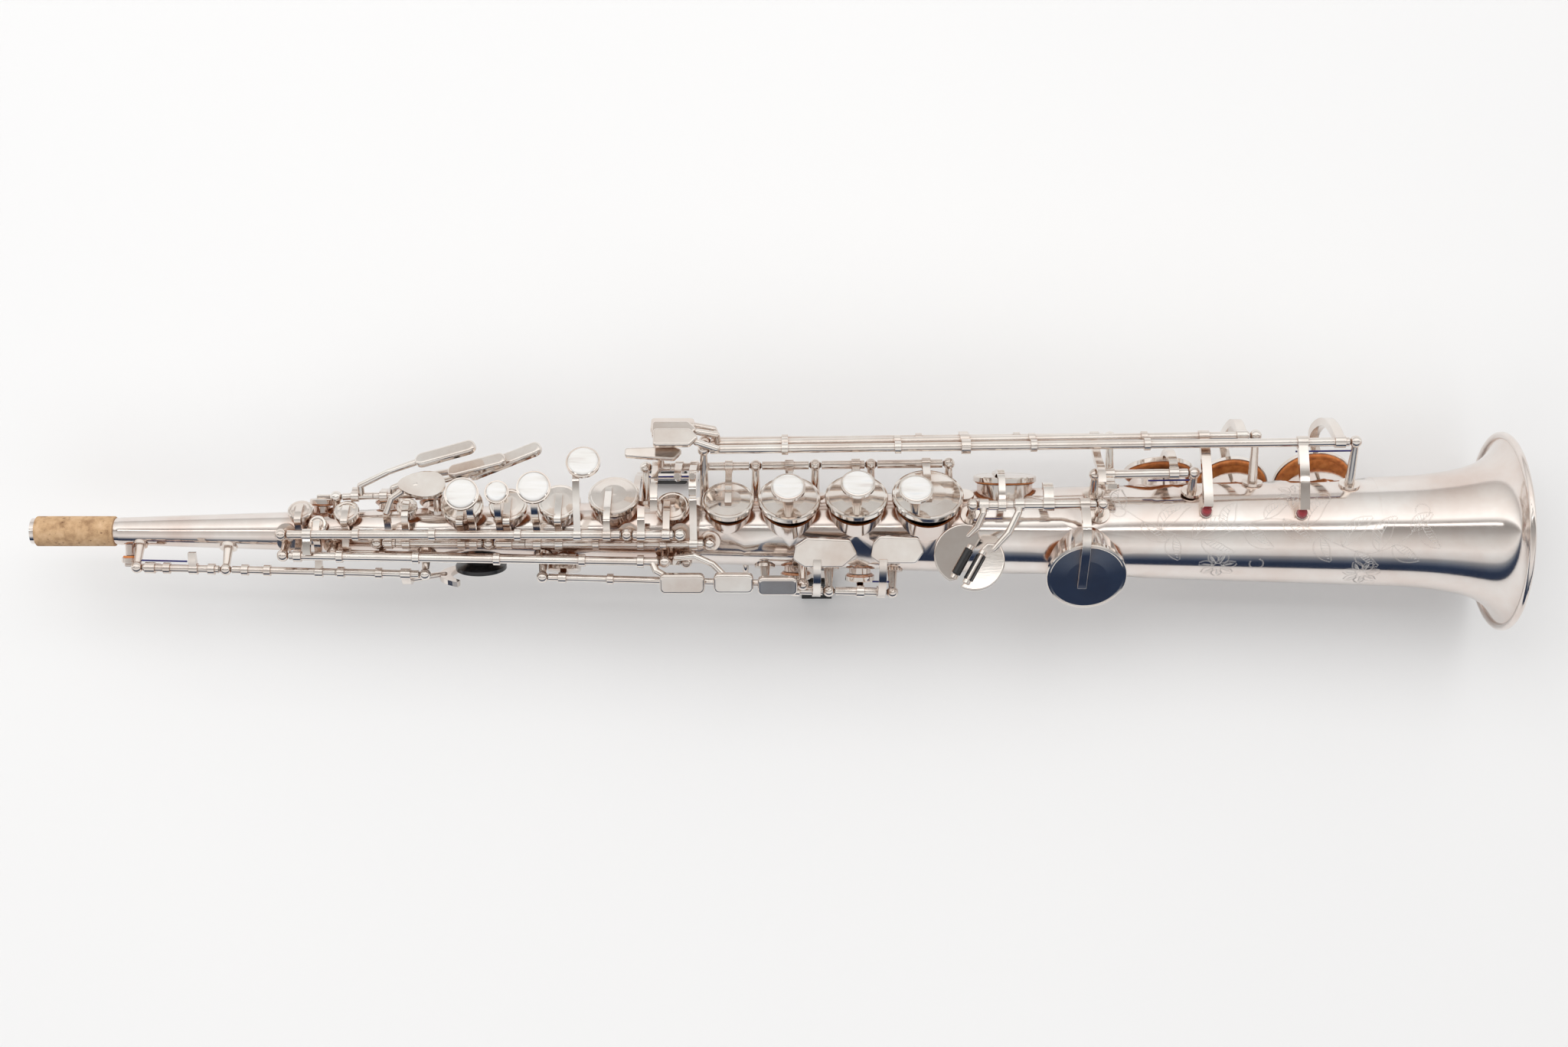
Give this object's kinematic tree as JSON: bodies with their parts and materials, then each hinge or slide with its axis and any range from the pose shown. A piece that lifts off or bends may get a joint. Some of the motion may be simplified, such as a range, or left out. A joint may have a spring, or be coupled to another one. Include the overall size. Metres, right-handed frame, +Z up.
{
  "type": "soprano saxophone",
  "caption": "Straight one-piece soprano saxophone in bright silver plating, with a cork tenon, padded keys on hinge rods, finger touches, a thumb hook and a flared bell.",
  "frame": {"origin": "centre of the mouthpiece tenon (the cork), on the axis of the bore; the instrument lies on a level surface 45 mm below it", "axes": "+X along the bore towards the bell, +Z up as the instrument lies, +Y towards the side of the left hand"},
  "size_m": [0.665, 0.0965, 0.09],
  "materials": {
    "silver_plate": "bright silver plating over brass, lightly toned",
    "pad_leather": "tan leather pad",
    "cork": "natural cork",
    "black_rubber": "matte black rubber",
    "black_resin": "polished black resin",
    "pale_resin": "pale polished resin",
    "blued_steel": "blued spring steel",
    "steel": "ground steel"
  },
  "bodies": {
    "body": {"bell": "silver_plate", "body_tube": "silver_plate", "guard_foot": "black_rubber", "hinge_rods": "steel", "neck_cork": "cork", "needle_springs": "blued_steel", "posts": "silver_plate", "strap_ring": "silver_plate", "table_guard": "silver_plate", "thumb_hook": "silver_plate", "thumb_hook_pad": "black_rubber", "thumb_rest": "black_resin", "thumb_rest_pad": "pale_resin"},
    "neck_octave_key": {"neck_octave_key": "silver_plate"},
    "body_octave_key": {"body_octave_key": "silver_plate"},
    "octave_lever": {"octave_lever": "silver_plate"},
    "palm_f": {"palm_f": "silver_plate"},
    "palm_eb": {"palm_eb": "silver_plate"},
    "palm_d": {"palm_d": "silver_plate"},
    "front_f_key": {"front_f_key": "silver_plate"},
    "b_key": {"b_key": "silver_plate", "b_key_pad": "pad_leather"},
    "bis_key": {"bis_key": "silver_plate", "bis_key_pad": "pad_leather"},
    "a_key": {"a_key": "silver_plate", "a_key_pad": "pad_leather"},
    "g_key": {"g_key": "silver_plate", "g_key_pad": "pad_leather"},
    "gs_key": {"gs_key": "silver_plate", "gs_key_pad": "pad_leather"},
    "gs_lever": {"gs_lever": "silver_plate"},
    "fs_key": {"fs_key": "silver_plate", "fs_key_pad": "pad_leather"},
    "f_key": {"f_key": "silver_plate", "f_key_pad": "pad_leather"},
    "e_key": {"e_key": "silver_plate", "e_key_pad": "pad_leather"},
    "d_key": {"d_key": "silver_plate", "d_key_pad": "pad_leather"},
    "high_e_key": {"high_e_key": "silver_plate"},
    "side_c_key": {"side_c_key": "silver_plate"},
    "side_bb_key": {"side_bb_key": "silver_plate", "side_bb_key_pad": "pad_leather"},
    "alt_fs_key": {"alt_fs_key": "silver_plate"},
    "trill_key": {"trill_key": "silver_plate"},
    "eb_key": {"eb_key": "silver_plate", "eb_key_pad": "pad_leather"},
    "c_key": {"c_key": "silver_plate", "c_key_pad": "pad_leather"},
    "cs_key": {"cs_key": "silver_plate", "cs_key_pad": "pad_leather"},
    "cs_lever": {"cs_lever": "silver_plate"},
    "low_b_key": {"low_b_key": "silver_plate", "low_b_key_pad": "pad_leather"},
    "low_bb_key": {"low_bb_key": "silver_plate", "low_bb_key_pad": "pad_leather"},
    "eb_roller": {"eb_roller": "black_resin"},
    "c_roller": {"c_roller": "black_resin"}
  },
  "joints": [
    {"name": "neck_octave_key_hinge", "type": "hinge", "parent": "body", "child": "neck_octave_key", "pos_m": [0.02975, -0.0162, 0.0085], "axis": [0.9997, -0.024, -0.0039], "range_deg": [-10, 0], "stiffness_Nm_per_rad": 0.04, "springref_deg": 20.05},
    {"name": "body_octave_key_hinge", "type": "hinge", "parent": "body", "child": "body_octave_key", "pos_m": [0.02975, -0.0162, 0.0085], "axis": [0.9997, -0.024, -0.0039], "range_deg": [0, 1.5], "stiffness_Nm_per_rad": 0.04, "springref_deg": -20.05},
    {"name": "octave_lever_hinge", "type": "hinge", "parent": "body", "child": "octave_lever", "pos_m": [0.02975, -0.0162, 0.0085], "axis": [0.9997, -0.024, -0.0039], "range_deg": [0, 8], "stiffness_Nm_per_rad": 0.04, "springref_deg": -20.05},
    {"name": "palm_f_hinge", "type": "hinge", "parent": "body", "child": "palm_f", "pos_m": [0.11885, 0.0154, 0.0075], "axis": [0.9997, 0.0242, 0], "range_deg": [0, 12], "stiffness_Nm_per_rad": 0.04, "springref_deg": -20.05},
    {"name": "palm_eb_hinge", "type": "hinge", "parent": "body", "child": "palm_eb", "pos_m": [0.11885, 0.0154, 0.0075], "axis": [0.9997, 0.0242, 0], "range_deg": [0, 12], "stiffness_Nm_per_rad": 0.04, "springref_deg": -20.05},
    {"name": "palm_d_hinge", "type": "hinge", "parent": "body", "child": "palm_d", "pos_m": [0.11885, 0.0154, 0.0075], "axis": [0.9997, 0.0242, 0], "range_deg": [0, 12], "stiffness_Nm_per_rad": 0.04, "springref_deg": -20.05},
    {"name": "front_f_key_hinge", "type": "hinge", "parent": "body", "child": "front_f_key", "pos_m": [0.13825, -0.0052, 0.0135], "axis": [0.9995, -0.0027, 0.0323], "range_deg": [-4, 0], "stiffness_Nm_per_rad": 0.04, "springref_deg": 20.05},
    {"name": "b_key_hinge", "type": "hinge", "parent": "body", "child": "b_key", "pos_m": [0.13825, -0.0052, 0.0135], "axis": [0.9995, -0.0027, 0.0323], "range_deg": [-8, 0], "stiffness_Nm_per_rad": 0.04, "springref_deg": 20.05},
    {"name": "bis_key_hinge", "type": "hinge", "parent": "body", "child": "bis_key", "pos_m": [0.13825, -0.0052, 0.0135], "axis": [0.9995, -0.0027, 0.0323], "range_deg": [-8, 0], "stiffness_Nm_per_rad": 0.04, "springref_deg": 20.05},
    {"name": "a_key_hinge", "type": "hinge", "parent": "body", "child": "a_key", "pos_m": [0.13825, -0.0052, 0.0135], "axis": [0.9995, -0.0027, 0.0323], "range_deg": [-8, 0], "stiffness_Nm_per_rad": 0.04, "springref_deg": 20.05},
    {"name": "g_key_hinge", "type": "hinge", "parent": "body", "child": "g_key", "pos_m": [0.09675, -0.0015, 0.0192], "axis": [0.9995, 0, 0.0322], "range_deg": [-7, 0], "stiffness_Nm_per_rad": 0.04, "springref_deg": 20.05},
    {"name": "gs_key_hinge", "type": "hinge", "parent": "body", "child": "gs_key", "pos_m": [0.09675, -0.0015, 0.0192], "axis": [0.9995, 0, 0.0322], "range_deg": [0, 9], "stiffness_Nm_per_rad": 0.04, "springref_deg": -20.05},
    {"name": "gs_lever_hinge", "type": "hinge", "parent": "body", "child": "gs_lever", "pos_m": [0.25775, 0.0287, 0.0064], "axis": [0.9998, 0.0125, 0.0132], "range_deg": [-8, 0], "stiffness_Nm_per_rad": 0.04, "springref_deg": 20.05},
    {"name": "fs_key_hinge", "type": "hinge", "parent": "body", "child": "fs_key", "pos_m": [0.25775, 0.0287, 0.0064], "axis": [0.9998, 0.0125, 0.0132], "range_deg": [0, 8], "stiffness_Nm_per_rad": 0.04, "springref_deg": -20.05},
    {"name": "f_key_hinge", "type": "hinge", "parent": "body", "child": "f_key", "pos_m": [0.25775, 0.0287, 0.0064], "axis": [0.9998, 0.0125, 0.0132], "range_deg": [0, 8], "stiffness_Nm_per_rad": 0.04, "springref_deg": -20.05},
    {"name": "e_key_hinge", "type": "hinge", "parent": "body", "child": "e_key", "pos_m": [0.25775, 0.0287, 0.0064], "axis": [0.9998, 0.0125, 0.0132], "range_deg": [0, 8], "stiffness_Nm_per_rad": 0.04, "springref_deg": -20.05},
    {"name": "d_key_hinge", "type": "hinge", "parent": "body", "child": "d_key", "pos_m": [0.25775, 0.0287, 0.0064], "axis": [0.9998, 0.0125, 0.0132], "range_deg": [0, 8], "stiffness_Nm_per_rad": 0.04, "springref_deg": -20.05},
    {"name": "high_e_key_hinge", "type": "hinge", "parent": "body", "child": "high_e_key", "pos_m": [0.09675, -0.0108, 0.0156], "axis": [0.9997, -0.0159, 0.02], "range_deg": [0, 10], "stiffness_Nm_per_rad": 0.04, "springref_deg": -20.05},
    {"name": "side_c_key_hinge", "type": "hinge", "parent": "body", "child": "side_c_key", "pos_m": [0.11775, -0.0096, 0.0098], "axis": [0.9995, -0.0265, 0.0164], "range_deg": [0, 10], "stiffness_Nm_per_rad": 0.04, "springref_deg": -20.05},
    {"name": "side_bb_key_hinge", "type": "hinge", "parent": "body", "child": "side_bb_key", "pos_m": [0.21175, -0.0205, 0.0105], "axis": [0.9991, -0.0266, 0.0334], "range_deg": [-12, 0], "stiffness_Nm_per_rad": 0.04, "springref_deg": 20.05},
    {"name": "alt_fs_key_hinge", "type": "hinge", "parent": "body", "child": "alt_fs_key", "pos_m": [0.31125, -0.0263, 0.004], "axis": [0.9998, -0.0192, 0.007], "range_deg": [-7, 0], "stiffness_Nm_per_rad": 0.04, "springref_deg": 20.05},
    {"name": "trill_key_hinge", "type": "hinge", "parent": "body", "child": "trill_key", "pos_m": [0.31125, -0.0263, 0.004], "axis": [0.9998, -0.0192, 0.007], "range_deg": [-7, 0], "stiffness_Nm_per_rad": 0.04, "springref_deg": 20.05},
    {"name": "eb_key_hinge", "type": "hinge", "parent": "body", "child": "eb_key", "pos_m": [0.40285, 0.0115, 0.028], "axis": [0.9998, 0.007, 0.0211], "range_deg": [0, 7], "stiffness_Nm_per_rad": 0.04, "springref_deg": -20.05},
    {"name": "c_key_hinge", "type": "hinge", "parent": "body", "child": "c_key", "pos_m": [0.40285, 0.0115, 0.028], "axis": [0.9998, 0.007, 0.0211], "range_deg": [0, 8.5], "stiffness_Nm_per_rad": 0.04, "springref_deg": -20.05},
    {"name": "cs_key_hinge", "type": "hinge", "parent": "body", "child": "cs_key", "pos_m": [0.45795, 0.0252, 0.0182], "axis": [0.9997, 0.016, 0.016], "range_deg": [-7, 0], "stiffness_Nm_per_rad": 0.04, "springref_deg": 20.05},
    {"name": "cs_lever_hinge", "type": "hinge", "parent": "body", "child": "cs_lever", "pos_m": [0.28425, 0.0403, 0.007], "axis": [0.9999, 0.0104, -0.0033], "range_deg": [-7, 0], "stiffness_Nm_per_rad": 0.04, "springref_deg": 20.05},
    {"name": "low_b_key_hinge", "type": "hinge", "parent": "body", "child": "low_b_key", "pos_m": [0.28425, 0.0388, 0.0142], "axis": [0.9999, 0.0155, 0.002], "range_deg": [-8, 0], "stiffness_Nm_per_rad": 0.04, "springref_deg": 20.05},
    {"name": "low_bb_key_hinge", "type": "hinge", "parent": "body", "child": "low_bb_key", "pos_m": [0.28425, 0.0361, 0.0212], "axis": [0.9999, 0.0122, 0.0087], "range_deg": [-8, 0], "stiffness_Nm_per_rad": 0.04, "springref_deg": 20.05},
    {"name": "eb_roller_spin", "type": "hinge", "parent": "eb_key", "child": "eb_roller", "pos_m": [0.40225, -0.0064, 0.028], "axis": [-0.4867, -0.8736, 0], "continuous": true},
    {"name": "c_roller_spin", "type": "hinge", "parent": "c_key", "child": "c_roller", "pos_m": [0.40725, -0.009, 0.028], "axis": [-0.4867, -0.8736, 0], "continuous": true}
  ],
  "couplings": [
    {"joint": "neck_octave_key_hinge", "follows": "octave_lever_hinge", "ratio": -1.2},
    {"joint": "gs_key_hinge", "follows": "gs_lever_hinge", "ratio": -1.1},
    {"joint": "cs_key_hinge", "follows": "cs_lever_hinge", "ratio": 1}
  ]
}
